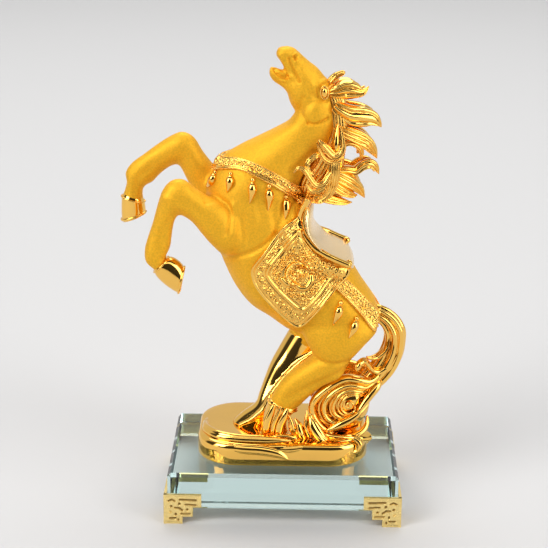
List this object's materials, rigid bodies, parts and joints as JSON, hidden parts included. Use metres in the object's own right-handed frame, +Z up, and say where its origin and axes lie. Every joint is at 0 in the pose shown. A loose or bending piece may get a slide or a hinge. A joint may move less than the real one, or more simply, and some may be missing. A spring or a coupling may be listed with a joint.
{
  "type": "horse statue",
  "caption": "Gilded rearing horse figurine with saddle, harness and wave scroll base, on a clear glass plinth with stepped brass corner feet.",
  "frame": {"origin": "on the table, under the middle of the whole object's bounding box", "axes": "+Z up, +X along the plinth's length towards the tail, so the horse faces -X; -Y is the side that the picture shows"},
  "size_m": [0.1882, 0.1046, 0.3038],
  "materials": {
    "gold_matte": "cast resin with a matte, fine-grained gold leaf finish",
    "gold_polished": "cast resin with a mirror-bright gold plating",
    "clear_glass": "polished clear glass with a faint sea-green tint",
    "brass": "satin stamped brass with a fret pattern"
  },
  "bodies": {
    "root": {"horse_figure": "gold_matte", "glass_plinth": "clear_glass", "corner_foot_front_left": "brass", "corner_foot_front_right": "brass", "corner_foot_back_left": "brass", "corner_foot_back_right": "brass"}
  },
  "joints": []
}
